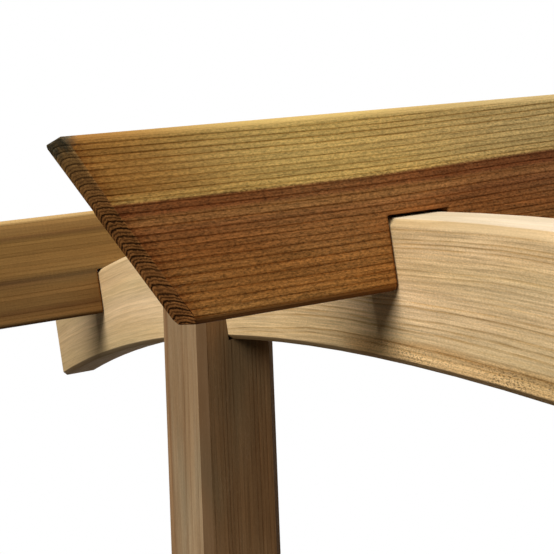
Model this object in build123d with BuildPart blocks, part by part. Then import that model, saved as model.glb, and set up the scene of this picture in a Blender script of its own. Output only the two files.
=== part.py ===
# Garden arch: two leaning posts, each with one arched cross arm seated in a
# rebate at its top, and two straight beams notched over the arms.
# Millimetres. X runs along the beams, Y runs through the arch, Z is up.
# The origin is the centre of the left post's foot, at ground level.

import os
from math import radians, sqrt, tan

from build123d import *

# The whole arch
crown_height = 2100.0  # ground to the highest point under a cross arm
arm_spacing = 1300.0  # one cross arm to the other, centre to centre
beam_spacing = 775.0  # front beam to back beam, centre to centre

# Posts
post_width = 90.0  # along the beams
post_depth = 115.0  # through the arch
post_arris = 8.5  # flat planed off each long edge
post_lean = 6.9  # degrees off plumb, the tops leaning inward
cheek_rise = 30.0  # how far the cheek beside an arm stands above it
cheek_bevel = 5.0

# Cross arms
arm_length = 1262.0
arm_thickness = 56.0
arm_depth = 120.0
arm_rise = 58.0  # how much lower the ends are than the middle
arm_arris = 5.5

# Beams
beam_depth = 145.0
beam_thickness = 45.0
beam_arris = 4.5
beam_tail = 283.0  # centre of an arm to the tip of the beam
tail_setback = 81.0  # how far the lower edge stops short of the tip
notch_depth = 62.5  # at the face nearer the post
notch_opening = 3.0  # degrees by which a notch opens away from the arm's top

# Clearances
cheek_play = 0.3  # between an arm and the cheek it is bolted to
seat_play = 0.3  # under an arm on its shoulder, and over it in a notch
notch_play = 1.0  # between an arm and each side of a notch

# Worked out from the sizes above
half_arm = arm_length / 2
arm_radius = (half_arm**2 + arm_rise**2) / (2 * arm_rise)
arm_top = crown_height + arm_depth
lean = tan(radians(post_lean))
# At the shoulder an arm is flush with the inner face of its post.
inner_face = crown_height * lean + post_width / 2 * sqrt(1 + lean**2)
left_arm_x = inner_face - arm_thickness / 2
right_arm_x = left_arm_x + arm_spacing
arch_middle = (left_arm_x + right_arm_x) / 2
post_top = arm_top + cheek_rise


def drop(y):
    """How far an arm's curve lies below its crown at a distance y from the post."""
    return arm_radius - sqrt(arm_radius**2 - y**2)


# A beam bears on the arm at the face nearer the post.
beam_inner = (beam_spacing - beam_thickness) / 2
notch_ceiling = arm_top - drop(beam_inner) + seat_play
beam_bottom = notch_ceiling - notch_depth
beam_top = beam_bottom + beam_depth

# Slope of an arm's top where a beam crosses it, less the notch's opening.
crossing_slope = beam_spacing / 2 / arm_radius
notch_slope = crossing_slope - tan(radians(notch_opening))


def cross_arm(arm_x):
    """An arched board on edge, its middle at the post."""
    with BuildPart() as arm:
        with BuildSketch(Plane.YZ.offset(arm_x - arm_thickness / 2)):
            with BuildLine():
                under = ThreePointArc(
                    (-half_arm, crown_height - arm_rise),
                    (0, crown_height),
                    (half_arm, crown_height - arm_rise),
                )
                over = ThreePointArc(
                    (half_arm, arm_top - arm_rise),
                    (0, arm_top),
                    (-half_arm, arm_top - arm_rise),
                )
                Line(under @ 1, over @ 0)
                Line(over @ 1, under @ 0)
            make_face()
        extrude(amount=arm_thickness)
        curved = arm.edges().filter_by(GeomType.CIRCLE)
        chamfer(curved, arm_arris)
    return arm.part


def leaning_post():
    """The left post, cut level at the ground and the top, rebated for its arm."""
    spare = post_width  # extra length for the level cuts to take off
    axis = Vector(lean, 0, 1).normalized()
    start = Plane(origin=axis * -spare, x_dir=(0, 1, 0), z_dir=axis)
    shoulder = crown_height - drop(post_depth / 2) - seat_play
    rebate_face = left_arm_x - arm_thickness / 2 - cheek_play
    # The bevel takes at most two thirds of the cheek's flat beside the arris.
    outer_face = post_top * lean - post_width / 2 * sqrt(1 + lean**2)
    cheek_flat = rebate_face - outer_face - post_arris
    rim_bevel = min(cheek_bevel, cheek_flat * 2 / 3)
    with BuildPart() as timber:
        with BuildSketch(start) as section:
            Rectangle(post_depth, post_width)
            chamfer(section.vertices(), post_arris)
        extrude(amount=post_top / axis.Z + 2 * spare)
        split(bisect_by=Plane.XY, keep=Keep.TOP)
        split(bisect_by=Plane.XY.offset(post_top), keep=Keep.BOTTOM)
        with BuildSketch(Plane.XZ):
            with Locations((rebate_face, shoulder)):
                Rectangle(post_width, post_top, align=Align.MIN)
        extrude(amount=post_depth, both=True, mode=Mode.SUBTRACT)
        rim = timber.faces().sort_by(Axis.Z)[-1].edges()
        chamfer(rim, rim_bevel)
    return timber.part


def beam(side):
    """A straight beam on edge; side is -1 for the front one and 1 for the back one."""
    middle_y = side * beam_spacing / 2
    half_top = arm_spacing / 2 + beam_tail
    half_foot = half_top - tail_setback
    inner_y = side * (beam_inner - notch_play)
    outer_y = side * (beam_inner + beam_thickness + notch_play)
    outer_drop = notch_slope * abs(outer_y - inner_y)
    notch_width = arm_thickness + 2 * notch_play
    with BuildPart() as rail:
        with BuildSketch(Plane.XZ.offset(-middle_y)):
            Polygon(
                (arch_middle - half_top, beam_top),
                (arch_middle + half_top, beam_top),
                (arch_middle + half_foot, beam_bottom),
                (arch_middle - half_foot, beam_bottom),
                align=None,
            )
        extrude(amount=beam_thickness / 2, both=True)
        chamfer(rail.edges().filter_by(Axis.X), beam_arris)
        for arm_x in (left_arm_x, right_arm_x):
            with BuildSketch(Plane.YZ.offset(arm_x)):
                Polygon(
                    (inner_y, beam_bottom - notch_depth),
                    (inner_y, notch_ceiling),
                    (outer_y, notch_ceiling - outer_drop),
                    (outer_y, beam_bottom - notch_depth),
                    align=None,
                )
            extrude(amount=notch_width / 2, both=True, mode=Mode.SUBTRACT)
    return rail.part


with BuildPart() as left_post:
    add(leaning_post())

with BuildPart() as right_post:
    mirror(left_post.part, about=Plane.YZ.offset(arch_middle))

with BuildPart() as left_arm:
    add(cross_arm(left_arm_x))

with BuildPart() as right_arm:
    add(cross_arm(right_arm_x))

with BuildPart() as front_beam:
    add(beam(-1))

with BuildPart() as back_beam:
    add(beam(1))

pieces = {
    "left_post": left_post,
    "right_post": right_post,
    "left_arm": left_arm,
    "right_arm": right_arm,
    "front_beam": front_beam,
    "back_beam": back_beam,
}

os.makedirs("parts", exist_ok=True)
for name, piece in pieces.items():
    piece.part.label = name
    export_step(piece.part, f"parts/{name}.step")
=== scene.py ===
import math

import bmesh
import bpy
from mathutils import Matrix, Quaternion, Vector, noise


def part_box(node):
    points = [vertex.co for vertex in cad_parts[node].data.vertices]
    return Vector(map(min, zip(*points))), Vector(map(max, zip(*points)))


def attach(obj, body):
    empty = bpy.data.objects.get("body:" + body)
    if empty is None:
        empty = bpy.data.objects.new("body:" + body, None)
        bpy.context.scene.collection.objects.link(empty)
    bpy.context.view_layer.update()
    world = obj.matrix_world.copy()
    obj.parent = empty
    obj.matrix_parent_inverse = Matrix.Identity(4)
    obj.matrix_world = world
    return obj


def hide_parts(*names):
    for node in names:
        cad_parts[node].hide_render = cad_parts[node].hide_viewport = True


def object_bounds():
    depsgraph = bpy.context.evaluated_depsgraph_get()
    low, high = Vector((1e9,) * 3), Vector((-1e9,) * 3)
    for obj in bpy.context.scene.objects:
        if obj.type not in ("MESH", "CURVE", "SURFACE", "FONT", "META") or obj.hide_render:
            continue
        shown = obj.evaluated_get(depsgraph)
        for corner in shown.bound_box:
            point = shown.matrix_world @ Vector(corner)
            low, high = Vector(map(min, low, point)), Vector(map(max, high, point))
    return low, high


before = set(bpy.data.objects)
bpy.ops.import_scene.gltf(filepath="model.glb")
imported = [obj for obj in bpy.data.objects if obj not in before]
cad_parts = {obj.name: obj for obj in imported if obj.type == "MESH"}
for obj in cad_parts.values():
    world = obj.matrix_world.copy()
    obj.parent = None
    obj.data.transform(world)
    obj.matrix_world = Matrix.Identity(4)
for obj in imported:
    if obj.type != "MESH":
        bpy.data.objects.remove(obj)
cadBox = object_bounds()
print("frame loaded:", ", ".join(sorted(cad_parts)))


# Node helpers: a socket gets linked, a number or a colour is written into the input.
def addNode(tree, kind, inputs=None, **settings):
    node = tree.nodes.new(kind)
    for name, value in settings.items():
        setattr(node, name, value)
    for slot, value in (inputs or {}).items():
        if isinstance(value, bpy.types.NodeSocket):
            tree.links.new(value, node.inputs[slot])
        else:
            node.inputs[slot].default_value = value
    return node


def calc(tree, operation, *values):
    return addNode(tree, "ShaderNodeMath", dict(enumerate(values)), operation=operation).outputs[0]


def times(tree, value, factor):
    return calc(tree, "MULTIPLY", value, factor)


def addTimes(tree, value, factor, base):
    return calc(tree, "MULTIPLY_ADD", value, factor, base)


def lessBy(tree, mask, share=1.0):
    return addTimes(tree, mask, -share, 1.0)


def centred(tree, value):
    return calc(tree, "SUBTRACT", value, 0.5)


def fade(tree, value, low, high, start=0.0, end=1.0):
    inputs = {"Value": value, "From Min": low, "From Max": high, "To Min": start, "To Max": end}
    return addNode(tree, "ShaderNodeMapRange", inputs, interpolation_type="SMOOTHSTEP").outputs["Result"]


def ramp(tree, value, stops):
    node = addNode(tree, "ShaderNodeValToRGB", {"Fac": value})
    band = node.color_ramp
    while len(band.elements) < len(stops):
        band.elements.new(1.0)
    for element, (position, colour) in zip(band.elements, stops):
        element.position = position
        element.color = (*colour, 1.0) if isinstance(colour, tuple) else (colour, colour, colour, 1.0)
    return node.outputs["Color"]


def blend(tree, factor, first, second, mode="MIX"):
    node = addNode(tree, "ShaderNodeMix", data_type="RGBA", blend_type=mode)
    for slot, value in ((0, factor), (6, first), (7, second)):
        if isinstance(value, bpy.types.NodeSocket):
            tree.links.new(value, node.inputs[slot])
        else:
            node.inputs[slot].default_value = value if slot == 0 else (*value, 1.0)
    return node.outputs[2]


def tinted(tree, factor, colour, tone):
    return blend(tree, factor, colour, tone, "MULTIPLY")


def randomBy(tree, number):
    return addNode(tree, "ShaderNodeTexWhiteNoise", {"W": number}, noise_dimensions="1D").outputs["Value"]


def cloud(tree, vector, scale, detail=2.0, rough=0.5, seed=0.0):
    if isinstance(scale, tuple):
        vector = addNode(tree, "ShaderNodeMapping", {"Vector": vector, "Scale": scale}).outputs[0]
        scale = 1.0
    inputs = {"Vector": vector, "W": seed, "Scale": scale, "Detail": detail, "Roughness": rough}
    return addNode(tree, "ShaderNodeTexNoise", inputs, noise_dimensions="4D").outputs[0]


def newMaterial(name):
    material = bpy.data.materials.new(name)
    material.use_nodes = True
    material.node_tree.nodes.clear()
    return material, material.node_tree


# Sizes and places of the timbers, read from the frame.
def boxCentre(nodeName):
    low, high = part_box(nodeName)
    return (low + high) / 2


beamLow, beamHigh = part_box("front_beam")
armLow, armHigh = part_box("left_arm")
footLow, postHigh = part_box("left_post")
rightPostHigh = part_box("right_post")[1]
beamHalf = (beamHigh - beamLow) / 2
armHalf = (armHigh - armLow) / 2
rightFootX = rightPostHigh.x + footLow.x
postLean = math.radians(6.9)
armRise = 0.058  # how much lower an arm's ends are than its middle
armRadius = (armHalf.y**2 + armRise**2) / (2 * armRise)
tailSetback = 0.081  # how far a beam's lower edge stops short of its tip

# How the growth rings lie in each kind of timber, in metres. The rings are counted
# over the timber's depth. Drift is how they close up towards the top, uneven how they
# bunch, and curl how they sag to each side of the middle of its thickness. Bend is how
# the grain follows an arm's curve, and flare how it lifts beside a knot.
beamRings = {
    "spacing": 0.00525,
    "drift": 1.47,
    "start": 0.42,
    "uneven": (0.15, 139.6, 2.48),
    "curl": (3.1, 17.0),
    "middle": 0.006,
    "bend": 0.0,
    "sway": ((0.0016, 2.3, 0.4), (0.0005, 9.1, 1.7)),
    "wander": (((1.6, 9, 9), 0.0022), ((14, 40, 40), 0.0008)),
    "flare": ((0.006, -0.74, -0.44, -0.10, 0.20),),
    "endSlope": tailSetback / (2 * beamHalf.z),
}
armRings = {
    "spacing": 0.0047,
    "drift": 1.4,
    "start": 0.0,
    "uneven": (0.22, 150.0, 0.6),
    "curl": (7.0, 7.0),
    "middle": -0.010,
    "bend": 1 / (2 * armRadius),
    "sway": ((0.0022, 6.1, 0.9), (0.0007, 17.0, 2.2)),
    "wander": (((3.0, 13, 13), 0.010), ((15, 36, 36), 0.0014)),
    "flare": (),
    "endSlope": 0.0,
}
postRings = {
    "spacing": 0.0046,
    "drift": 0.0,
    "start": 0.0,
    "uneven": (0.15, 170.0, 0.0),
    "curl": (5.0, 5.0),
    "middle": 0.016,
    "bend": 0.0,
    "sway": ((0.0030, 1.9, 0.2), (0.0008, 7.7, 1.1)),
    "wander": (((1.2, 8, 8), 0.006), ((10, 40, 40), 0.0012)),
    "flare": (),
    "endSlope": 0.0,
}

# How far in from an end the rings start to wander, and do so fully.
straightEnds = (0.02, 0.16)


def ringCount(rings, along, across, depth):
    offset = across - rings["middle"]
    curl = rings["curl"][0] if offset < 0 else rings["curl"][1]
    level = depth + rings["bend"] * along**2 + curl * offset**2
    for size, rate, start in rings["sway"]:
        level += size * math.sin(rate * along + start)
    size, rate, start = rings["uneven"]
    bunched = size * math.sin(rate * level + start) + rings["start"]
    return (level + rings["drift"] * level**2) / rings["spacing"] + bunched


# The same count as nodes, with a wander that dies away towards the carved ends, and a flare.
def ringNodes(tree, rings, wood, seed):
    along = wood["along"]
    offset = calc(tree, "SUBTRACT", wood["across"], rings["middle"])
    front, back = (math.sqrt(curl) for curl in rings["curl"])
    sagged = calc(tree, "MAXIMUM", times(tree, offset, -front), times(tree, offset, back))
    level = addTimes(tree, sagged, sagged, wood["followed"])
    for size, rate, start in rings["sway"]:
        wave = calc(tree, "SINE", addTimes(tree, along, rate, start))
        level = addTimes(tree, wave, size, level)
    inside = fade(tree, wood["inward"], *straightEnds)
    for scale, size in rings["wander"]:
        seed += 0.37
        swing = centred(tree, cloud(tree, wood["grain"], scale, seed=seed))
        level = addTimes(tree, times(tree, swing, inside), 2 * size, level)
    for lift, low, high, last, gone in rings["flare"]:
        lifted = times(tree, fade(tree, along, low, high), fade(tree, along, last, gone, 1.0, 0.0))
        level = addTimes(tree, lifted, -lift, level)
    bent = addTimes(tree, times(tree, level, level), rings["drift"], level)
    size, rate, start = rings["uneven"]
    bunched = addTimes(tree, calc(tree, "SINE", addTimes(tree, level, rate, start)), size, rings["start"])
    return level, addTimes(tree, bent, 1 / rings["spacing"], bunched)


# Each timber's own axes: along the grain, across its thickness, and up its depth.
def timberSpace(tree, rings, look):
    coords = addNode(tree, "ShaderNodeTexCoord")
    turn = {"Rotation": look["turn"]}
    place = {"Vector": coords.outputs["Object"], "Location": look["centre"], **turn}
    local = addNode(tree, "ShaderNodeMapping", place, vector_type="TEXTURE").outputs[0]
    normal = {"Vector": coords.outputs["Normal"], **turn}
    facing = addNode(tree, "ShaderNodeMapping", normal, vector_type="TEXTURE").outputs[0]
    along, across, depth = addNode(tree, "ShaderNodeSeparateXYZ", {0: local}).outputs
    followed = depth
    grain = local
    if rings["bend"]:
        followed = addTimes(tree, times(tree, along, along), rings["bend"], depth)
        grain = addNode(tree, "ShaderNodeCombineXYZ", {0: along, 1: across, 2: followed}).outputs[0]
    return {
        "world": coords.outputs["Object"],
        "up": addNode(tree, "ShaderNodeSeparateXYZ", {0: coords.outputs["Normal"]}).outputs[2],
        "facing": addNode(tree, "ShaderNodeSeparateXYZ", {0: facing}).outputs,
        "local": local,
        "along": along,
        "across": across,
        "depth": depth,
        "followed": followed,
        "grain": grain,
    }


# Clouds drawn out along the grain: stretch, detail, roughness and a shift of the seed.
grainClouds = {
    "fibre": ((14, 620, 620), 3.0, 0.65, 1.0),
    "dash": ((420, 1000, 1000), 2.0, 0.6, 2.0),
    "mottle": ((5, 26, 26), 3.0, 0.55, 3.0),
    "stain": ((4, 14, 14), 2.0, 0.5, 4.0),
    "spark": ((300, 1100, 1100), 1.0, 0.5, 5.0),
    "cluster": ((16, 45, 45), 2.0, 0.5, 5.5),
    "gaps": ((26, 240, 240), 2.0, 0.6, 9.0),
}

# Clouds that are the same all ways, for the cut ends and the dirt.
roundClouds = {
    "pore": (900.0, 2.0, 0.6, 6.0),
    "grime": (120.0, 3.0, 0.6, 6.5),
    "ragged": (160.0, 4.0, 0.65, 7.0),
    "patchy": (420.0, 2.0, 0.6, 8.0),
    "lichen": (230.0, 3.0, 0.6, 8.5),
}

# Where each step of the wood sets in: from and to, then the strength at both.
woodSteps = {
    "mottle": (0.35, 0.70, 0.0),
    "stain": (0.50, 0.72, 0.0),
    "askew": (0.10, 0.40),  # a face that is turned off an axis enough to be an arris
    "offEnd": (0.05, 0.25, 1.0, 0.0),
    "onEnd": (0.15, 0.65),
    "facing": (0.75, 0.95),
    "below": (-0.75, -0.35),
    "whichEnd": (-0.2, 0.2),  # metres along the timber
    "inner": (0.18, 0.42),  # metres in from an end
    "boldLines": (0.0, 0.024, 1.9, 1.0),
    "lineGaps": (0.34, 0.58),
    "calmTop": (0.55, 0.95, 1.0, 0.28),
    "tornPatches": (0.42, 0.62, 0.25, 1.0),
    "glint": (0.82, 0.98, 0.0),
    "pore": (0.35, 0.70, 0.70, 1.2),
    "endGrime": (-0.12, 0.14, 0.0, 0.75),
    "faintGrooves": (0.55, 0.95, 1.0, 0.5),
    "patchy": (0.35, 0.65, 0.70, 1.0),
    "lichen": (0.52, 0.66, 0.0, 0.55),
    "rough": (0.25, 0.75),
}

# How much one thing in the wood does to another.
woodShares = {
    "bandDash": 0.012,  # how far the dashes break up the edge between two bands
    "tipMottle": 0.05,
    "tipStart": 0.03,
    "rimDash": 0.008,
    "arrisCalm": 0.65,
    "lowerLines": 0.3,
    "lowerGrit": 0.6,
    "faintGrit": 0.3,  # what is left of the grit where the lines fade
    "contrast": 4.0,  # from a cloud to a share of the colour
    "darkestFleck": 0.35,
    "palestFleck": 1.30,
    "tornFleck": 0.12,
    "tornMottle": 0.02,
    "tornStain": 0.1,
    "tornRim": 3.0,
    "clusterGlint": 0.45,
    "grooveGrime": 0.9,
    "grooveTint": (0.6, 0.65),
    "dirt": 0.97,
    "lineDepth": 0.5,
    "fibreHeight": 0.9,
    "dashHeight": 0.6,
}


# What every step of the wood needs: its rings, its clouds and masks for its parts.
def woodParts(tree, rings, look):
    wood = timberSpace(tree, rings, look)
    seed = look["seed"]
    for name, (scale, detail, rough, shift) in grainClouds.items():
        wood[name] = cloud(tree, wood["grain"], scale, detail, rough, seed + shift)

    # distance in from the cross-cut end, which slopes on the beams
    overhang = times(tree, calc(tree, "SUBTRACT", look["halfDepth"], wood["depth"]), rings["endSlope"])
    reach = calc(tree, "SUBTRACT", look["reach"], overhang)
    wood["inward"] = calc(tree, "SUBTRACT", reach, calc(tree, "ABSOLUTE", wood["along"]))

    level, count = ringNodes(tree, rings, wood, seed)
    wood["level"], wood["count"] = level, count
    wood["tint"] = randomBy(tree, calc(tree, "ADD", calc(tree, "FLOOR", count), seed + 0.5))
    low, high = look["span"]
    height = calc(tree, "DIVIDE", calc(tree, "SUBTRACT", level, low), high - low)
    wood["height"] = addTimes(tree, centred(tree, wood["dash"]), woodShares["bandDash"], height)
    wood["upper"] = fade(tree, wood["height"], *look["tipFrom"])

    lengthwise, sideways, upDown = (calc(tree, "ABSOLUTE", part) for part in wood["facing"])
    arris = times(tree, fade(tree, sideways, *woodSteps["askew"]), fade(tree, upDown, *woodSteps["askew"]))
    wood["arris"] = times(tree, arris, fade(tree, lengthwise, *woodSteps["offEnd"]))
    wood["endGrain"] = fade(tree, lengthwise, *woodSteps["onEnd"])
    wood["clear"] = fade(tree, wood["along"], *look["lineFade"])
    calmTop = fade(tree, wood["up"], *woodSteps["calmTop"])
    wood["calm"] = times(tree, calmTop, lessBy(tree, wood["arris"], woodShares["arrisCalm"]))
    return wood


# The body colour by ring, then cloudiness and stain, and the tints beside the ends.
def bodyColour(tree, wood, look):
    colour = ramp(tree, wood["height"], look["tones"])
    ringTint = addTimes(tree, wood["tint"], look["ringTint"], 1 - look["ringTint"] / 2)
    colour = tinted(tree, 1.0, colour, ringTint)
    cloudy = fade(tree, wood["mottle"], *woodSteps["mottle"], look["mottle"])
    colour = tinted(tree, cloudy, colour, look["mottleTone"])
    stained = fade(tree, wood["stain"], *woodSteps["stain"], look["stain"])
    colour = blend(tree, stained, colour, look["stainTone"])
    whichEnd = fade(tree, wood["along"], *woodSteps["whichEnd"], *look["tips"])
    tipEdge = addTimes(tree, wood["mottle"], woodShares["tipMottle"], wood["inward"])
    nearTip = fade(tree, tipEdge, woodShares["tipStart"], look["tipFade"], whichEnd, 0.0)
    colour = tinted(tree, times(tree, nearTip, wood["upper"]), colour, look["tipTone"])
    inner = fade(tree, wood["inward"], *woodSteps["inner"])
    colour = tinted(tree, times(tree, inner, wood["upper"]), colour, look["innerTone"])
    lower = times(tree, inner, lessBy(tree, wood["upper"]))
    colour = tinted(tree, lower, colour, look["innerLow"])
    rimEdge = addTimes(tree, wood["dash"], woodShares["rimDash"], wood["inward"])
    rim = fade(tree, rimEdge, 0.0, look["rimFade"], 1.0, 0.0)
    return tinted(tree, rim, colour, look["rimTone"])


# Dark lines of late wood, each with a strength of its own, bolder beside an end,
# broken here and there and stronger in the lower band.
def ringLines(tree, wood, look):
    nearest = calc(tree, "FLOOR", calc(tree, "ADD", wood["count"], 0.5))
    own = randomBy(tree, calc(tree, "ADD", nearest, look["seed"]))
    low, high = look["lineStrength"]
    strong = times(tree, addTimes(tree, times(tree, own, own), high - low, low), wood["clear"])
    line = ramp(tree, calc(tree, "FRACT", wood["count"]), look["ringShape"])
    line = times(tree, line, fade(tree, wood["inward"], *woodSteps["boldLines"]))
    broken = fade(tree, wood["gaps"], *woodSteps["lineGaps"], look["broken"], 1.0)
    worn = times(tree, times(tree, times(tree, line, strong), broken), wood["calm"])
    share = woodShares["lowerLines"]
    return times(tree, worn, addTimes(tree, wood["upper"], -share, 1 + share))


# Torn wood low down towards one end, with a darker rim. Coarse is how it roughens there.
def tornColour(tree, colour, wood, look):
    topEdge = addTimes(tree, wood["mottle"], woodShares["tornMottle"], wood["level"])
    sideEdge = addTimes(tree, wood["stain"], woodShares["tornStain"], wood["along"])
    low = fade(tree, topEdge, *look["torn"], 1.0, 0.0)
    torn = times(tree, low, fade(tree, sideEdge, *look["tornPart"], 1.0, 0.0))
    rim = times(tree, torn, lessBy(tree, torn))
    colour = tinted(tree, times(tree, rim, woodShares["tornRim"]), colour, look["tornRimTone"])
    colour = tinted(tree, torn, colour, look["tornTone"])
    ragged = times(tree, torn, fade(tree, wood["cluster"], *woodSteps["tornPatches"]))
    return colour, torn, addTimes(tree, ragged, look["tornDepth"], 1.0)


# Dark fibres and pale flecks, calmer where the lines are faint, then glints: specks of painted highlight.
def fleckedColour(tree, colour, wood, torn, coarse, look):
    contrast = woodShares["contrast"]
    streak = addTimes(tree, centred(tree, wood["fibre"]), contrast * look["fibre"], 1.0)
    fleck = addTimes(tree, times(tree, centred(tree, wood["dash"]), coarse), contrast * look["dash"], 1.0)
    palest = addTimes(tree, torn, -woodShares["tornFleck"], woodShares["palestFleck"])
    fleck = calc(tree, "MINIMUM", calc(tree, "MAXIMUM", fleck, woodShares["darkestFleck"]), palest)
    grit = calc(tree, "SUBTRACT", times(tree, streak, fleck), 1.0)
    left, share = woodShares["faintGrit"], woodShares["lowerGrit"]
    calm = times(tree, wood["calm"], addTimes(tree, wood["clear"], 1 - left, left))
    calm = times(tree, calm, addTimes(tree, wood["upper"], -share, 1 + share))
    colour = tinted(tree, 1.0, colour, addTimes(tree, grit, calm, 1.0))
    # painted highlight: bright glint specks
    bright = addTimes(tree, wood["cluster"], woodShares["clusterGlint"], wood["spark"])
    glint = fade(tree, bright, *woodSteps["glint"], look["glint"])
    return blend(tree, glint, colour, look["glintTone"])


# Painted light and shade by facing: paler tops, darker undersides and post sides, and arrises lighter or
# darker.
def facedColour(tree, colour, wood, look):
    # painted light: upward faces tinted paler, as if lit from above
    topLight = fade(tree, wood["up"], *woodSteps["facing"], 0.0, look["top"])
    colour = tinted(tree, topLight, colour, look["paintedTopLight"])
    # painted shade: downward faces darkened
    below = fade(tree, wood["up"], *woodSteps["below"], look["under"], 0.0)
    colour = tinted(tree, below, colour, look["paintedUnderShade"])
    # painted light and shade on the arrises: lighter on the beams, darker on the arms and posts
    colour = tinted(tree, times(tree, wood["arris"], look["arris"]), colour, look["arrisLightAndShade"])
    # painted shade: faces turned to the front and back darkened
    for axis, sign, tone in look["shadedSides"]:
        turned = fade(tree, times(tree, wood["facing"][axis], sign), *woodSteps["facing"])
        colour = tinted(tree, turned, colour, tone)
    for low, high, tone in look["stripes"]:
        colour = tinted(tree, fade(tree, wood["across"], low, high), colour, tone)
    return colour


# Cross-cut ends: grimy, pored, with two grooves to a ring, each groove darkened as painted shade.
def endedColour(tree, colour, wood, look):
    grime = centred(tree, wood["grime"])
    wobbly = addTimes(tree, grime, woodShares["grooveGrime"], wood["count"])
    # painted shade: the grooves between the ridges darkened
    groove = ramp(tree, calc(tree, "FRACT", wobbly), look["endShape"])
    groove = times(tree, groove, addTimes(tree, wood["tint"], *woodShares["grooveTint"]))
    groove = times(tree, groove, fade(tree, wood["height"], *woodSteps["faintGrooves"]))
    ended = blend(tree, groove, ramp(tree, wood["height"], look["endTones"]), look["grooveShade"])
    ended = tinted(tree, fade(tree, grime, *woodSteps["endGrime"]), ended, look["endGrime"])
    ended = tinted(tree, 1.0, ended, fade(tree, wood["pore"], *woodSteps["pore"]))
    return blend(tree, wood["endGrain"], colour, ended)


# Blotches of dirt, each round a point, ragged at its edge and flecked with lichen.
def dirtyColour(tree, colour, wood, look):
    for point, inner, outer, tone in look["blotches"]:
        inputs = {0: wood["world"], 1: point}
        away = addNode(tree, "ShaderNodeVectorMath", inputs, operation="DISTANCE").outputs["Value"]
        away = addTimes(tree, wood["ragged"], outer, away)
        soft = fade(tree, away, inner + outer / 2, outer * 1.5, woodShares["dirt"], 0.0)
        patchy = fade(tree, wood["patchy"], *woodSteps["patchy"])
        dirt = blend(tree, fade(tree, wood["lichen"], *woodSteps["lichen"]), tone, look["lichenTone"])
        colour = blend(tree, times(tree, soft, patchy), colour, dirt)
    return colour


def woodMaterial(name, rings, look):
    material, tree = newMaterial(name)
    wood = woodParts(tree, rings, look)
    for cloudName, (scale, detail, rough, shift) in roundClouds.items():
        wood[cloudName] = cloud(tree, wood["local"], scale, detail, rough, look["seed"] + shift)

    worn = ringLines(tree, wood, look)
    colour = bodyColour(tree, wood, look)
    colour = tinted(tree, times(tree, worn, look["ringDepth"]), colour, look["ringTone"])
    torn, coarse = 0.0, 1.0
    if look["torn"]:
        colour, torn, coarse = tornColour(tree, colour, wood, look)
    colour = fleckedColour(tree, colour, wood, torn, coarse, look)
    colour = facedColour(tree, colour, wood, look)
    colour = endedColour(tree, colour, wood, look)
    colour = dirtyColour(tree, colour, wood, look)

    # relief and sheen
    ripple = calc(tree, "SINE", times(tree, wood["along"], 2 * math.pi / look["ripple"]))
    fibres = times(tree, wood["fibre"], woodShares["fibreHeight"])
    relief = addTimes(tree, worn, -woodShares["lineDepth"], fibres)
    relief = addTimes(tree, times(tree, wood["dash"], coarse), woodShares["dashHeight"], relief)
    relief = addTimes(tree, ripple, look["rippleDepth"], relief)
    bump = addNode(tree, "ShaderNodeBump", {"Height": relief, "Strength": 1.0, "Distance": look["relief"]})
    rough = fade(tree, wood["fibre"], *woodSteps["rough"], *look["roughness"])
    sheen = times(tree, lessBy(tree, wood["endGrain"]), look["specular"])
    inputs = {"Base Color": colour, "Roughness": rough, "Specular IOR Level": sheen}
    inputs["Normal"] = bump.outputs["Normal"]
    skin = addNode(tree, "ShaderNodeBsdfPrincipled", inputs)
    addNode(tree, "ShaderNodeOutputMaterial", {"Surface": skin.outputs["BSDF"]})
    return material


# Looks: colours are linear, tones run from the lowest ring to the highest. Lines and
# grooves are given over one ring, as a place in it and how dark it is there.
sharpLines = (
    (0.0, 1.0),
    (0.06, 0.62),
    (0.16, 0.12),
    (0.28, 0.0),
    (0.62, 0.0),
    (0.80, 0.16),
    (0.92, 0.55),
    (0.97, 1.0),
)
softLines = (
    (0.0, 0.30),
    (0.15, 0.0),
    (0.50, 0.10),
    (0.80, 0.70),
    (0.92, 1.0),
    (1.0, 0.30),
)
endGrooves = (
    (0.0, 1.0),
    (0.10, 0.75),
    (0.22, 0.15),
    (0.38, 0.12),
    (0.50, 0.75),
    (0.60, 0.60),
    (0.72, 0.08),
    (0.95, 0.9),
)

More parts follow.
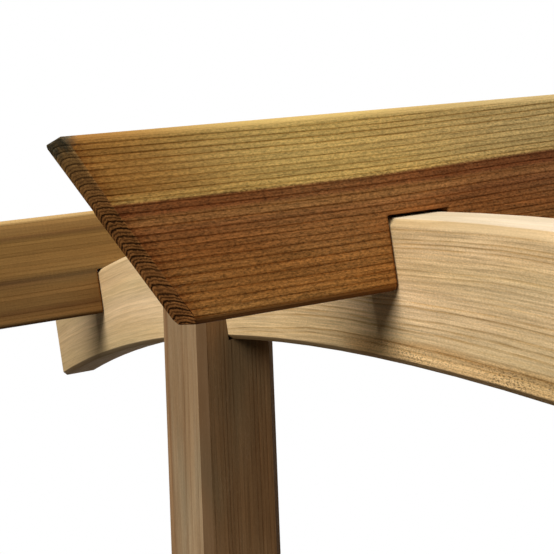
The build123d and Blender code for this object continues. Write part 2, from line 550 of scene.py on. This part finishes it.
# What a plain timber leaves as it is. Each look takes this over and adds its own.
untouched = (1.0, 1.0, 1.0)
tipDirt = (0.060, 0.052, 0.032)
plainLook = {
    "ringShape": softLines,
    "endShape": endGrooves,
    "tips": (0.0, 0.0),
    "tipFade": 0.10,
    "tipFrom": (0.0, 1.0, 1.0, 1.0),
    "tipTone": untouched,
    "innerTone": untouched,
    "innerLow": untouched,
    "lineFade": (-9.0, -8.0, 1.0, 1.0),
    "rimFade": 0.004,
    "rimTone": untouched,
    "torn": (),
    "top": 0.0,
    "paintedTopLight": untouched,
    "shadedSides": (),
    "stripes": (),
    "blotches": (),
    "lichenTone": (0.20, 0.19, 0.12),
    "roughness": (0.85, 0.65),
    "specular": 0.06,
}
frontBeamLook = {
    **plainLook,
    "centre": boxCentre("front_beam"),
    "turn": (0, 0, 0),
    "reach": beamHalf.x,
    "halfDepth": beamHalf.z,
    "seed": 3.1,
    "span": (-beamHalf.z + 0.002, beamHalf.z + 0.002),
    "tones": (
        (0.00, (0.345, 0.168, 0.045)),
        (0.10, (0.330, 0.147, 0.037)),
        (0.26, (0.330, 0.139, 0.035)),
        (0.34, (0.265, 0.100, 0.025)),
        (0.40, (0.275, 0.106, 0.028)),
        (0.48, (0.262, 0.102, 0.031)),
        (0.52, (0.310, 0.138, 0.042)),
        (0.55, (0.300, 0.134, 0.040)),
        (0.57, (0.222, 0.077, 0.023)),
        (0.626, (0.222, 0.079, 0.023)),
        (0.640, (0.67, 0.44, 0.130)),
        (0.82, (0.645, 0.435, 0.137)),
        (1.00, (0.665, 0.445, 0.130)),
    ),
    "ringTint": 0.30,
    "mottle": 0.5,
    "mottleTone": (0.82, 0.74, 0.66),
    "stain": 0.12,
    "stainTone": (0.36, 0.30, 0.12),
    "tips": (1.0, 0.8),
    "tipFade": 0.19,
    "tipFrom": (0.60, 0.70, 0.1, 1.0),
    "tipTone": (0.61, 0.43, 0.32),
    "innerTone": (0.94, 1.01, 1.32),
    "innerLow": (0.86, 0.82, 0.92),
    "ringShape": sharpLines,
    "broken": 0.80,
    "lineStrength": (0.70, 1.15),
    "rimFade": 0.018,
    "rimTone": (0.68, 0.56, 0.48),
    "ringDepth": 1.0,
    "ringTone": (0.50, 0.38, 0.24),
    "fibre": 0.30,
    "dash": 0.44,
    "glint": 0.10,
    "glintTone": (0.66, 0.40, 0.17),
    # painted shade on the undersides
    "under": 0.9,
    "paintedUnderShade": (0.40, 0.32, 0.28),
    "endTones": (
        (0.0, (0.62, 0.252, 0.074)),
        (0.6, (0.55, 0.232, 0.066)),
        (0.85, (0.50, 0.263, 0.083)),
        (1.0, (0.30, 0.212, 0.094)),
    ),
    # painted shade in the end grooves
    "grooveShade": (0.066, 0.026, 0.009),
    "endGrime": (0.62, 0.60, 0.62),
    # painted highlight: the arrises tinted lighter
    "arris": 0.9,
    "arrisLightAndShade": (1.13, 1.15, 1.29),
    "blotches": (
        ((beamLow.x + 0.001, beamLow.y + 0.007, beamHigh.z - 0.002), 0.007, 0.014, tipDirt),
        ((beamLow.x, beamLow.y + 0.032, beamHigh.z - 0.002), 0.008, 0.017, tipDirt),
    ),
    "ripple": 0.009,
    "rippleDepth": 0.04,
    "relief": 0.00030,
    "roughness": (0.85, 0.62),
    "specular": 0.05,
}
backBeamLook = dict(
    frontBeamLook,
    centre=boxCentre("back_beam"),
    seed=8.4,
    tones=(
        (0.00, (0.22, 0.115, 0.036)),
        (0.078, (0.25, 0.130, 0.041)),
        (0.118, (0.19, 0.092, 0.030)),
        (0.168, (0.25, 0.135, 0.043)),
        (0.338, (0.26, 0.140, 0.044)),
        (0.408, (0.15, 0.072, 0.026)),
        (0.458, (0.30, 0.160, 0.048)),
        (0.778, (0.32, 0.178, 0.053)),
        (0.818, (0.21, 0.108, 0.036)),
        (0.848, (0.38, 0.210, 0.066)),
        (1.00, (0.50, 0.290, 0.100)),
    ),
    ringShape=softLines,
    ringDepth=0.20,
    fibre=0.10,
    dash=0.08,
    glint=0.0,
    blotches=(),
    tips=(0.0, 0.0),
    innerTone=untouched,
    innerLow=untouched,
    # painted highlight: the arrises tinted much lighter
    arrisLightAndShade=(1.54, 1.75, 2.10),
    lineStrength=(0.35, 1.75),
    rimTone=untouched,
    # painted shade on the undersides
    paintedUnderShade=(0.22, 0.18, 0.16),
    relief=0.00025,
    ripple=0.006,
    rippleDepth=0.16,
)
armLook = {
    **plainLook,
    "turn": (0, 0, math.pi / 2),
    "reach": armHalf.y,
    "halfDepth": armHalf.z,
    "span": (-0.031, 0.099),
    "tones": (
        (0.00, (0.76, 0.54, 0.28)),
        (0.25, (0.79, 0.57, 0.305)),
        (0.40, (0.87, 0.62, 0.345)),
        (0.55, (0.89, 0.64, 0.365)),
        (0.70, (0.81, 0.59, 0.315)),
        (0.82, (0.86, 0.61, 0.335)),
        (1.00, (0.82, 0.58, 0.305)),
    ),
    "ringTint": 0.16,
    "mottle": 0.55,
    "mottleTone": (0.84, 0.78, 0.66),
    "stain": 0.35,
    "stainTone": (0.50, 0.40, 0.19),
    "tips": (0.0, 1.0),
    "tipFade": 0.56,
    "tipTone": (0.66, 0.64, 0.60),
    "broken": 0.45,
    "lineStrength": (0.45, 1.50),
    "lineFade": (-0.32, 0.14, 1.0, 0.30),
    "ringDepth": 1.0,
    "ringTone": (0.70, 0.61, 0.47),
    "torn": (0.000, 0.011),
    "tornDepth": 4.6,
    "tornPart": (-0.34, -0.24),
    "tornTone": (1.00, 0.93, 0.83),
    "tornRimTone": (0.74, 0.64, 0.52),
    "fibre": 0.36,
    "dash": 0.22,
    "glint": 0.12,
    "glintTone": (0.98, 0.80, 0.54),
    # painted light: the arms' upward faces are tinted paler, as if lit from above
    "top": 1.0,
    "paintedTopLight": (1.16, 1.32, 1.74),
    # painted shade on the undersides
    "under": 0.9,
    "paintedUnderShade": (0.55, 0.48, 0.42),
    "endTones": ((0.0, (0.42, 0.27, 0.12)), (1.0, (0.46, 0.30, 0.14))),
    # painted shade in the end grooves
    "grooveShade": (0.20, 0.11, 0.045),
    "endGrime": (0.86, 0.84, 0.80),
    # painted light: arrises a little darker, holding back the painted top light on the chamfers
    "arris": 0.8,
    "arrisLightAndShade": (0.90, 0.92, 0.95),
    "ripple": 0.011,
    "rippleDepth": 0.10,
    "relief": 0.00014,
}
leftArmLook = dict(armLook, centre=boxCentre("left_arm"), seed=14.2)
rightArmLook = dict(armLook, centre=boxCentre("right_arm"), seed=21.7)
postLook = {
    **plainLook,
    "reach": 9.0,
    "halfDepth": 0.0,
    "span": (-0.050, 0.070),
    "tones": (
        (0.00, (0.31, 0.203, 0.105)),
        (0.40, (0.33, 0.218, 0.116)),
        (0.80, (0.35, 0.234, 0.126)),
        (1.00, (0.37, 0.250, 0.137)),
    ),
    "ringTint": 0.20,
    "mottle": 0.8,
    "mottleTone": (0.76, 0.67, 0.57),
    "stain": 0.70,
    "stainTone": (0.24, 0.20, 0.12),
    "broken": 0.35,
    "lineStrength": (0.35, 1.75),
    "ringDepth": 0.42,
    "ringTone": (0.66, 0.54, 0.44),
    "fibre": 0.20,
    "dash": 0.10,
    "glint": 0.1,
    "glintTone": (0.60, 0.46, 0.32),
    # painted shade on the undersides
    "under": 0.5,
    "paintedUnderShade": (0.60, 0.52, 0.46),
    "endTones": ((0.0, (0.22, 0.14, 0.08)), (1.0, (0.24, 0.16, 0.09))),
    # painted shade in the end grooves
    "grooveShade": (0.10, 0.06, 0.03),
    "endGrime": (0.80, 0.76, 0.72),
    # painted shade: the corner arrises tinted darker
    "arris": 1.0,
    "arrisLightAndShade": (0.46, 0.40, 0.35),
    # painted shade: the posts' front and back faces darkened
    "shadedSides": ((1, -1.0, (0.635, 0.54, 0.445)), (1, 1.0, (0.635, 0.54, 0.445))),
    "stripes": ((0.034, 0.038, (0.86, 0.76, 0.68)),),
    "ripple": 0.012,
    "rippleDepth": 0.04,
    "relief": 0.0003,
}
leftPostLook = dict(
    postLook,
    centre=Vector((0, 0, 0)),
    turn=(0, postLean - math.pi / 2, 0),
    seed=31.5,
)
rightPostLook = dict(
    postLook,
    centre=Vector((rightFootX, 0, 0)),
    turn=(0, -postLean - math.pi / 2, 0),
    seed=44.9,
)


# A timber starts as a merged copy of its CAD node, and its edges are eased.
timberWork = {
    "mergeGap": 0.00002,
    "flatAngle": 0.002,
    "hardAngle": math.radians(32),  # edges flatter than this aren't eased
    "steepGrain": 0.6,  # how squarely a face crosses the grain to count as a cut end
    "touching": 0.0001,
    "rimSteps": 4,
    "edgeSteps": 2,
    "grooves": (0.45, 0.55),  # the groove on each ring, and the two finer ones
    "leastGroove": 0.2,  # what is left of the grooves at the top edge
    "roughScale": 500,
}


def hardEdges(bm):
    walled = [e for e in bm.edges if len(e.link_faces) == 2]
    return [e for e in walled if e.calc_face_angle(0) > timberWork["hardAngle"]]


def crossCuts(bm, cut):
    across = [f for f in bm.faces if abs(f.normal.dot(cut["grain"])) > timberWork["steepGrain"]]
    return [f for f in across if f.calc_area() > cut["endArea"]]


def easeEdges(bm, edges, width, steps):
    bmesh.ops.bevel(
        bm,
        geom=edges,
        offset=width,
        segments=steps,
        profile=0.5,
        affect="EDGES",
        material=-1,
        clamp_overlap=True,
    )


# The chamfer at the back of a tip is planed less there, so the tip stays blunt.
def fillTips(bm, nodeName, cut):
    low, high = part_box(nodeName)
    for x in (low.x + cut["fillRun"], high.x - cut["fillRun"]):
        geom = [*bm.verts, *bm.edges, *bm.faces]
        bmesh.ops.bisect_plane(bm, geom=geom, dist=1e-6, plane_co=(x, 0, 0), plane_no=(1, 0, 0))
    for v in bm.verts:
        run = min(v.co.x - low.x, high.x - v.co.x)
        drop, back = high.z - v.co.z, high.y - v.co.y
        if run > cut["fillRun"] / 2 or max(drop, back) > cut["chamfer"]:
            continue
        if drop < timberWork["touching"]:
            v.co.y += cut["fill"]
        elif back < timberWork["touching"]:
            v.co.z += cut["fill"]
            v.co.x += math.copysign(cut["fill"] * cut["endSlope"], v.co.x - (low.x + high.x) / 2)


def timber(nodeName, cut):
    bm = bmesh.new()
    bm.from_mesh(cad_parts[nodeName].data)
    bmesh.ops.remove_doubles(bm, verts=bm.verts, dist=timberWork["mergeGap"])
    bmesh.ops.dissolve_limit(bm, angle_limit=timberWork["flatAngle"], verts=bm.verts, edges=bm.edges)
    if cut["fill"]:
        fillTips(bm, nodeName, cut)
    rims = {e for f in crossCuts(bm, cut) for e in f.edges}
    if cut["rim"]:
        easeEdges(bm, list(rims), cut["rim"], timberWork["rimSteps"])
        rims = {e for f in crossCuts(bm, cut) for e in f.edges}
    edges = [e for e in hardEdges(bm) if e not in rims]
    easeEdges(bm, edges, cut["ease"], timberWork["edgeSteps"])
    return bm


# Cuts the cross-cut ends into a fine grid, ready for carving.
def gridEnds(bm, cut):
    carved = set()
    for end in crossCuts(bm, cut):
        slope = end.normal.cross(cut["across"]).normalized()
        faces = [end]
        for direction, pitch in ((slope, cut["row"]), (cut["across"], cut["column"])):
            reach = [v.co.dot(direction) for f in faces for v in f.verts]
            low, high = min(reach), max(reach)
            steps = int((high - low) / pitch)
            for step in range(1, steps):
                level = low + step * (high - low) / steps
                near = []
                for f in faces:
                    heights = [v.co.dot(direction) for v in f.verts]
                    if min(heights) < level < max(heights):
                        near.append(f)
                geom = list({g for f in near for g in (f, *f.edges, *f.verts)})
                done = bmesh.ops.bisect_plane(
                    bm, geom=geom, dist=1e-6, plane_co=direction * level, plane_no=direction
                )
                fresh = {g for g in done["geom"] if isinstance(g, bmesh.types.BMFace)}
                faces = list(set(f for f in faces if f.is_valid) | fresh)
        carved.update(v for f in faces if f.is_valid for v in f.verts)
    return carved


# The soft wood is weathered back, so the rings stand as ridges, less so near the top
# edge. On the beams the cut also runs back towards the front of the tip.
def carveEnds(bm, cut, rings, look):
    wide, fine = timberWork["grooves"]
    for v in gridEnds(bm, cut):
        away = v.co - look["centre"]
        along, across, depth = (away.dot(cut[axis]) for axis in ("grain", "across", "up"))
        turn = 2 * math.pi * ringCount(rings, along, across, depth)
        worn = wide * (1 + math.cos(turn)) / 2 + fine * (1 + math.cos(2 * turn)) / 2
        kept = min((look["halfDepth"] - depth) / cut["kept"], 1.0)
        groove = cut["carve"] * worn * max(kept, timberWork["leastGroove"])
        rough = abs(noise.noise(v.co * timberWork["roughScale"])) * cut["rough"]
        height = max(depth + look["halfDepth"], 0.0) / (2 * look["halfDepth"])
        skew = cut["skew"] * min(height, 1.0) * max(0.5 - across / cut["wide"], 0.0)
        v.co -= cut["grain"] * math.copysign(groove + rough + skew, along)


def placeTimber(bm, nodeName, material):
    name = nodeName + "_timber"
    mesh = bpy.data.meshes.new(name)
    bm.normal_update()
    bm.to_mesh(mesh)
    bm.free()
    piece = bpy.data.objects.new(name, mesh)
    bpy.context.scene.collection.objects.link(piece)
    mesh.materials.append(material)
    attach(piece, "root")
    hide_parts(nodeName)
    print("made", name, "with", len(mesh.polygons), "faces")


beamCut = {
    "grain": Vector((1, 0, 0)),
    "across": Vector((0, 1, 0)),
    "up": Vector((0, 0, 1)),
    "endArea": 0.0045,
    "chamfer": 0.0051,
    "fill": 0.0017,
    "fillRun": 0.030,
    "endSlope": beamRings["endSlope"],
    "rim": 0.0012,
    "ease": 0.0024,
    "row": 0.0006,
    "column": 0.002,
    "carve": 0.0010,
    "rough": 0.0006,
    "kept": 0.010,
    "skew": 0.0033,
    "wide": 2 * beamHalf.y,
}
for nodeName, look in (("front_beam", frontBeamLook), ("back_beam", backBeamLook)):
    bm = timber(nodeName, beamCut)
    carveEnds(bm, beamCut, beamRings, look)
    placeTimber(bm, nodeName, woodMaterial(nodeName + "Wood", beamRings, look))

armCut = {
    "grain": Vector((0, 1, 0)),
    "across": Vector((-1, 0, 0)),
    "up": Vector((0, 0, 1)),
    "endArea": 0.0045,
    "fill": 0.0,
    "rim": 0.0008,
    "ease": 0.0008,
    "row": 0.0010,
    "column": 0.004,
    "carve": 0.0005,
    "rough": 0.0002,
    "kept": 0.002,
    "skew": 0.0,
    "wide": 2 * armHalf.x,
}
for nodeName, look in (("left_arm", leftArmLook), ("right_arm", rightArmLook)):
    bm = timber(nodeName, armCut)
    carveEnds(bm, armCut, armRings, look)
    placeTimber(bm, nodeName, woodMaterial(nodeName + "Wood", armRings, look))

postCut = {
    "grain": Vector((0, 0, 1)),
    "endArea": 0.0008,
    "fill": 0.0,
    "rim": 0.0,
    "ease": 0.0010,
}
for nodeName, look in (("left_post", leftPostLook), ("right_post", rightPostLook)):
    bm = timber(nodeName, postCut)
    placeTimber(bm, nodeName, woodMaterial(nodeName + "Wood", postRings, look))

# Bolts: a coach bolt's domed head on each post's cheek, its nut and washer on the arm.
metalCrease = math.radians(35)
boltLook = {
    "round": 32,
    "shankRound": 20,
    "headRadius": 0.0110,
    "headRise": 0.0050,
    "headRim": 0.0008,
    "sunk": 0.0015,
    "washerRadius": 0.0125,
    "washerThick": 0.0018,
    "nutAcross": 0.0165,
    "nutThick": 0.0080,
    "nutBevel": 0.10,  # of its thickness
    "shankRadius": 0.0050,
    "shankProud": 0.0045,
    "shankBevel": 0.001,
    "places": ((-0.026, 0.036), (0.026, 0.082)),  # across the post, and above the arm's underside
}
screwLook = {
    "round": 24,
    "headRadius": 0.0055,
    "underside": 0.75,  # of the head's radius, like the rim
    "rim": 0.96,
    "socketRadius": 0.0024,
    "flare": 1.15,  # of the socket's radius
    "socketDepth": 0.0016,
    "floor": 0.0002,
    "proud": 0.0003,
    "spread": 0.0140,
}


# Spins a few points, given as distance along the axis and radius, round that axis.
def turned(bm, profile, base, axis, steps):
    side = axis.orthogonal().normalized()
    points = [bm.verts.new(base + axis * run + side * radius) for run, radius in profile]
    edges = [bm.edges.new(pair) for pair in zip(points, points[1:])]
    bmesh.ops.spin(
        bm,
        geom=points + edges,
        cent=base,
        axis=axis,
        dvec=(0, 0, 0),
        angle=2 * math.pi,
        steps=steps,
        use_merge=True,
    )


def nut(bm, base, axis, across, thick):
    turn = axis.to_track_quat("Z", "Y").to_matrix().to_4x4()
    place = Matrix.Translation(base + axis * thick / 2) @ turn
    radius = across / math.sqrt(3)
    made = bmesh.ops.create_cone(
        bm,
        cap_ends=True,
        segments=6,
        radius1=radius,
        radius2=radius,
        depth=thick,
        matrix=place,
    )
    edges = {e for v in made["verts"] for e in v.link_edges}
    rims = [e for e in edges if abs((e.verts[0].co - e.verts[1].co).dot(axis)) < 1e-6]
    easeEdges(bm, rims, thick * boltLook["nutBevel"], timberWork["edgeSteps"])


def placeMetal(bm, name, material):
    bmesh.ops.remove_doubles(bm, verts=bm.verts, dist=0.00001)
    bmesh.ops.recalc_face_normals(bm, faces=bm.faces)
    mesh = bpy.data.meshes.new(name)
    bm.to_mesh(mesh)
    bm.free()
    piece = bpy.data.objects.new(name, mesh)
    bpy.context.scene.collection.objects.link(piece)
    mesh.materials.append(material)
    mesh.shade_smooth()
    mesh.set_sharp_from_angle(angle=metalCrease)
    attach(piece, "root")
    print("made", name, "with", len(mesh.polygons), "faces")


zincLook = {
    "spangle": 420.0,
    "tones": ((0.42, 0.43, 0.44), (0.56, 0.57, 0.58)),
    "grime": (260.0, 4.0, 0.6, 2.0),
    "grimePart": (0.50, 0.72, 0.0, 0.7),
    "grimeTone": (0.20, 0.17, 0.13),
    "rough": (0.38, 0.62),
    "metallic": 0.85,
}


def zincMaterial():
    material, tree = newMaterial("dullZinc")
    coords = addNode(tree, "ShaderNodeTexCoord").outputs["Object"]
    inputs = {"Vector": coords, "Scale": zincLook["spangle"]}
    spangle = addNode(tree, "ShaderNodeTexVoronoi", inputs).outputs["Color"]
    spangle = addNode(tree, "ShaderNodeSeparateXYZ", {0: spangle}).outputs[0]
    grime = cloud(tree, coords, *zincLook["grime"])
    colour = blend(tree, fade(tree, spangle, 0.1, 0.9), *zincLook["tones"])
    colour = blend(tree, fade(tree, grime, *zincLook["grimePart"]), colour, zincLook["grimeTone"])
    rough = fade(tree, grime, 0.3, 0.7, *zincLook["rough"])
    bump = addNode(tree, "ShaderNodeBump", {"Height": grime, "Strength": 0.5, "Distance": 0.0001})
    inputs = {"Base Color": colour, "Roughness": rough, "Normal": bump.outputs["Normal"]}
    inputs["Metallic"] = zincLook["metallic"]
    skin = addNode(tree, "ShaderNodeBsdfPrincipled", inputs)
    addNode(tree, "ShaderNodeOutputMaterial", {"Surface": skin.outputs["BSDF"]})
    return material


def coachBolts(side, armName, postName, material):
    heads = bmesh.new()
    nuts = bmesh.new()
    low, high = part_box(armName)
    inner = high.x if side < 0 else low.x
    out = Vector((side, 0, 0))
    footX = 0.0 if side < 0 else rightFootX
    halfFoot = abs(footLow.x)
    rise, rim = boltLook["headRise"], boltLook["headRim"]
    radius = boltLook["headRadius"]
    washer, wide = boltLook["washerThick"], boltLook["washerRadius"]
    shank = boltLook["shankRadius"]
    for across, above in boltLook["places"]:
        z = low.z + armRise + above
        cheek = footX - side * z * math.tan(postLean) + side * halfFoot
        seat = Vector((cheek, across, z)) - out * boltLook["sunk"]
        dome = [(0.0, 0.0), (0.0, radius), (rim, radius)]
        for step in range(1, 6):
            turn = step * math.pi / 12
            dome.append((rim + rise * math.sin(turn), radius * math.cos(turn)))
        dome.append((rim + rise, 0.0))
        turned(heads, dome, seat, out, boltLook["round"])
        face = Vector((inner, across, z))
        ring = ((0.0, 0.0), (0.0, wide), (washer, wide), (washer, 0.0))
        turned(nuts, ring, face, -out, boltLook["round"])
        nut(nuts, face - out * washer, -out, boltLook["nutAcross"], boltLook["nutThick"])
        end = washer + boltLook["nutThick"] + boltLook["shankProud"]
        blunt = boltLook["shankBevel"]
        stub = ((washer, 0.0), (washer, shank), (end - blunt, shank), (end, shank - blunt), (end, 0.0))
        turned(nuts, stub, face, -out, boltLook["shankRound"])
    placeMetal(heads, postName + "_bolt_heads", material)
    placeMetal(nuts, armName + "_nuts", material)


def beamScrews(beamName, material):
    bm = bmesh.new()
    low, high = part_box(beamName)
    middle = (low.y + high.y) / 2
    radius, socket = screwLook["headRadius"], screwLook["socketRadius"]
    proud, deep, floor = screwLook["proud"], screwLook["socketDepth"], screwLook["floor"]
    for armName in ("left_arm", "right_arm"):
        for offset in (-screwLook["spread"], screwLook["spread"]):
            base = Vector((boxCentre(armName).x + offset, middle, high.z - deep - proud))
            head = ((0.0, radius * screwLook["underside"]), (deep - proud, radius))
            head += ((deep - proud * 0.2, radius * screwLook["rim"]), (deep, socket * screwLook["flare"]))
            head += ((floor, socket), (floor, 0.0))
            turned(bm, head, base, Vector((0, 0, 1)), screwLook["round"])
    placeMetal(bm, beamName + "_screws", material)


zinc = zincMaterial()
coachBolts(-1, "left_arm", "left_post", zinc)
coachBolts(1, "right_arm", "right_post", zinc)
beamScrews("front_beam", zinc)
beamScrews("back_beam", zinc)

# Floor: a pale disc that fades out at its rim, and is dull to all but the eye.
floorLook = {
    "radius": 3.6,
    "colour": (0.80, 0.80, 0.79),
    "cloud": (0.76, 0.76, 0.75),
    "unseen": (0.12, 0.12, 0.12),
    "fade": (2.2, 3.5),
}


def seenNode(tree):
    path = addNode(tree, "ShaderNodeLightPath").outputs
    seen = calc(tree, "MAXIMUM", path["Is Camera Ray"], path["Is Glossy Ray"])
    return calc(tree, "MAXIMUM", seen, path["Is Transmission Ray"])


def paleFloor():
    middle = (cadBox[0] + cadBox[1]) / 2
    bm = bmesh.new()
    place = Matrix.Translation((middle.x, middle.y, 0))
    bmesh.ops.create_circle(bm, cap_ends=True, segments=96, radius=floorLook["radius"], matrix=place)
    mesh = bpy.data.meshes.new("floor")
    bm.to_mesh(mesh)
    bm.free()
    floor = bpy.data.objects.new("floor", mesh)
    bpy.context.scene.collection.objects.link(floor)
    material, tree = newMaterial("paleFloor")
    coords = addNode(tree, "ShaderNodeTexCoord").outputs["Object"]
    inputs = {0: coords, 1: (middle.x, middle.y, 0)}
    away = addNode(tree, "ShaderNodeVectorMath", inputs, operation="DISTANCE").outputs["Value"]
    patches = fade(tree, cloud(tree, coords, 6.0, 4.0, 0.6), 0.3, 0.7)
    colour = blend(tree, patches, floorLook["colour"], floorLook["cloud"])
    colour = blend(tree, seenNode(tree), floorLook["unseen"], colour)
    dull = addNode(tree, "ShaderNodeBsdfDiffuse", {"Color": colour})
    clear = addNode(tree, "ShaderNodeBsdfTransparent")
    rim = fade(tree, away, *floorLook["fade"])
    both = addNode(tree, "ShaderNodeMixShader", {0: rim, 1: dull.outputs[0], 2: clear.outputs[0]})
    addNode(tree, "ShaderNodeOutputMaterial", {"Surface": both.outputs[0]})
    mesh.materials.append(material)


paleFloor()
print("floor laid")

# Light: white all round for the eye, a low soft level of it on the wood, and broad
# suns from the upper left, the front and behind.
lightLook = {
    "ambient": 0.05,
    "warmth": (1.0, 0.84, 0.62),
    "suns": (
        ("keySun", (-0.67, -0.27, 0.69), 3.3, 40),
        ("frontSun", (0.28, -0.80, 0.52), 1.00, 50),
        ("backSun", (0.60, 0.72, 0.35), 1.1, 60),
    ),
}


def lights():
    world = bpy.data.worlds.new("whiteRoom")
    bpy.context.scene.world = world
    world.use_nodes = True
    tree = world.node_tree
    tree.nodes.clear()
    warm = (*lightLook["warmth"], 1.0)
    soft = addNode(tree, "ShaderNodeBackground", {"Color": warm, "Strength": lightLook["ambient"]})
    white = addNode(tree, "ShaderNodeBackground", {"Color": (1, 1, 1, 1), "Strength": 1.0})
    both = addNode(tree, "ShaderNodeMixShader", {0: seenNode(tree), 1: soft.outputs[0], 2: white.outputs[0]})
    addNode(tree, "ShaderNodeOutputWorld", {"Surface": both.outputs[0]})
    for name, towards, strength, angle in lightLook["suns"]:
        lamp = bpy.data.lights.new(name, "SUN")
        lamp.energy = strength
        lamp.angle = math.radians(angle)
        sun = bpy.data.objects.new(name, lamp)
        sun.rotation_euler = Vector(towards).to_track_quat("Z", "Y").to_euler()
        sun.location = Vector(towards) * 4
        bpy.context.scene.collection.objects.link(sun)


lights()
print("lights set")

# Camera: just left of the near beam's tip, level with the beams and tilted sideways.
cameraLook = {
    "place": (-0.23697, -1.17082, 2.17638),
    "aim": (0.2929, -0.0943, 2.1586),
    "roll": 8.43,
    "lens": 73.49,
}


def photoCamera():
    data = bpy.data.cameras.new("photoCamera")
    data.lens = cameraLook["lens"]
    data.sensor_width = 36
    camera = bpy.data.objects.new("photoCamera", data)
    place = Vector(cameraLook["place"])
    camera.location = place
    look = (Vector(cameraLook["aim"]) - place).to_track_quat("-Z", "Y")
    roll = Quaternion((0, 0, 1), -math.radians(cameraLook["roll"]))
    camera.rotation_mode = "QUATERNION"
    camera.rotation_quaternion = look @ roll
    bpy.context.scene.collection.objects.link(camera)
    bpy.context.scene.camera = camera


photoCamera()
bpy.context.scene.view_settings.view_transform = "Standard"
print("camera placed")
